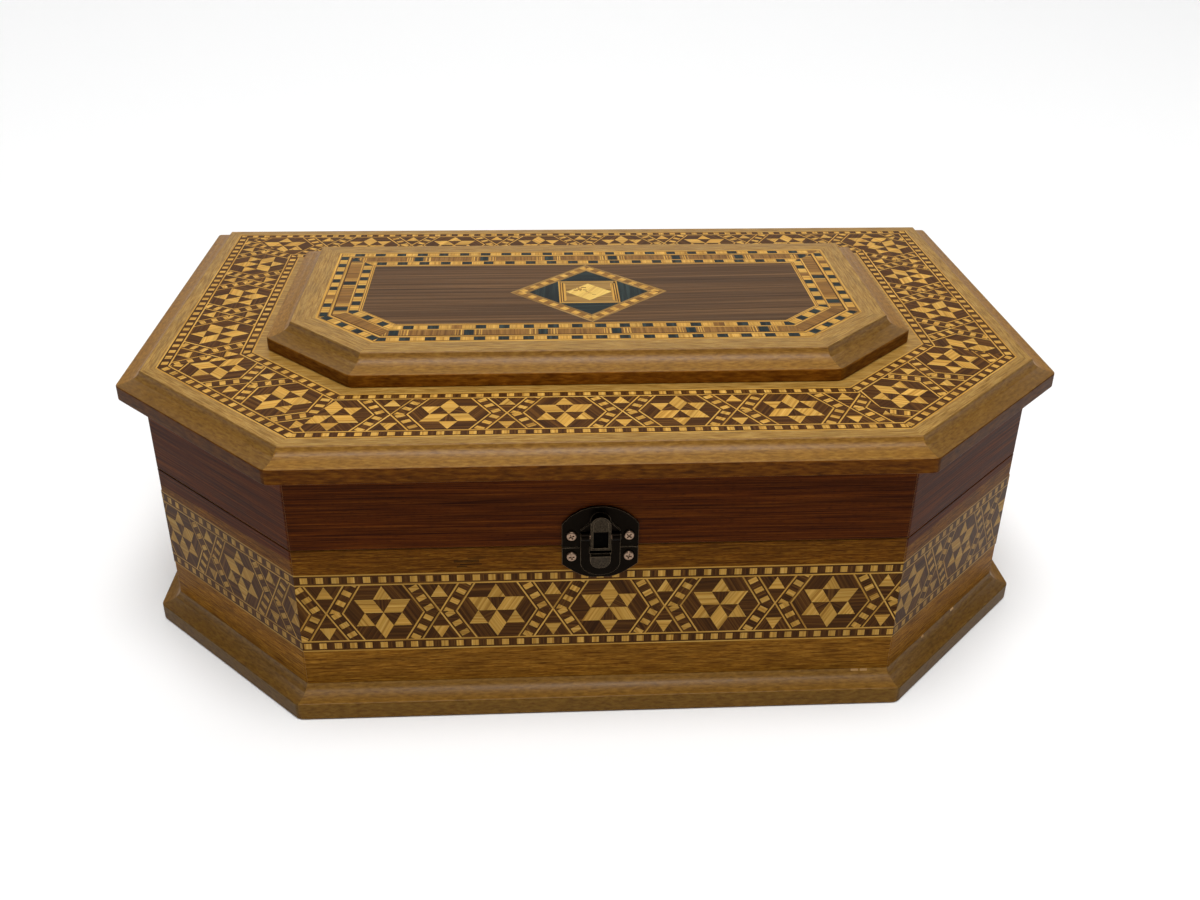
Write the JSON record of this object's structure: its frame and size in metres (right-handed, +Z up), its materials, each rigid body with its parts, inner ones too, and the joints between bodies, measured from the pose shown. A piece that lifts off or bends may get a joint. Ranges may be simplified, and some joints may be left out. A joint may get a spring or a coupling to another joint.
{
  "type": "marquetry jewelry box",
  "caption": "Six-sided wooden jewelry box with inlaid star bands, a raised lid panel, a hinged lid and a front hasp latch.",
  "frame": {"origin": "middle of the footprint, on the surface that the box stands on", "axes": "+X to the right seen from the latch side, +Y towards the hinges, +Z up"},
  "size_m": [0.32, 0.216, 0.108],
  "materials": {
    "base_wood": "satin varnished brown wood",
    "golden_wood": "satin varnished golden brown wood",
    "red_wood": "satin varnished dark reddish brown wood",
    "star_band": "light and dark wood marquetry under satin varnish",
    "string_inlay": "light, brown and black stained inlay under satin varnish",
    "dark_veneer": "satin varnished dark veneer",
    "diamond_inlay": "light, brown and black stained inlay under satin varnish",
    "dark_bronze": "blackened antique bronze plating, rubbed at the edges",
    "screw_steel": "dulled bronze plated screw heads",
    "hinge_brass": "dull brass"
  },
  "bodies": {
    "case": {"base_board": "base_wood", "case_wall_front": "golden_wood", "case_wall_front_right": "golden_wood", "case_wall_right": "golden_wood", "case_wall_back": "golden_wood", "case_wall_left": "golden_wood", "case_wall_front_left": "golden_wood", "case_band_front": "star_band", "case_band_front_right": "star_band", "case_band_right": "star_band", "case_band_back": "star_band", "case_band_left": "star_band", "case_band_front_left": "star_band", "latch_lower_plate": "dark_bronze", "latch_screw_lower_left": "screw_steel", "latch_screw_lower_right": "screw_steel", "hinge_leaf_lower_left": "hinge_brass", "hinge_leaf_lower_right": "hinge_brass", "hinge_pin_left": "hinge_brass", "hinge_pin_right": "hinge_brass", "hinge_screw_lower_left_1": "hinge_brass", "hinge_screw_lower_left_2": "hinge_brass", "hinge_screw_lower_right_1": "hinge_brass", "hinge_screw_lower_right_2": "hinge_brass"},
    "lid": {"lid_wall_front": "red_wood", "lid_wall_front_right": "red_wood", "lid_wall_right": "red_wood", "lid_wall_back": "red_wood", "lid_wall_left": "red_wood", "lid_wall_front_left": "red_wood", "lid_board": "golden_wood", "lid_band_front": "star_band", "lid_band_front_right": "star_band", "lid_band_right": "star_band", "lid_band_back": "star_band", "lid_band_left": "star_band", "lid_band_front_left": "star_band", "panel_board": "golden_wood", "panel_inlay": "string_inlay", "panel_field_left": "dark_veneer", "panel_field_right": "dark_veneer", "panel_diamond": "diamond_inlay", "latch_upper_plate": "dark_bronze", "latch_pin": "dark_bronze", "latch_screw_upper_left": "screw_steel", "latch_screw_upper_right": "screw_steel", "hinge_leaf_upper_left": "hinge_brass", "hinge_leaf_upper_right": "hinge_brass", "hinge_screw_upper_left_1": "hinge_brass", "hinge_screw_upper_left_2": "hinge_brass", "hinge_screw_upper_right_1": "hinge_brass", "hinge_screw_upper_right_2": "hinge_brass"},
    "hasp": {"latch_hasp": "dark_bronze"}
  },
  "joints": [
    {"name": "lid_hinge", "type": "hinge", "parent": "case", "child": "lid", "pos_m": [0, 0.1028, 0.062], "axis": [-1, 0, 0], "range_deg": [0, 100]},
    {"name": "hasp_hinge", "type": "hinge", "parent": "lid", "child": "hasp", "pos_m": [-0.001, -0.1031, 0.0668], "axis": [-1, 0, 0], "range_deg": [0, 150]}
  ]
}
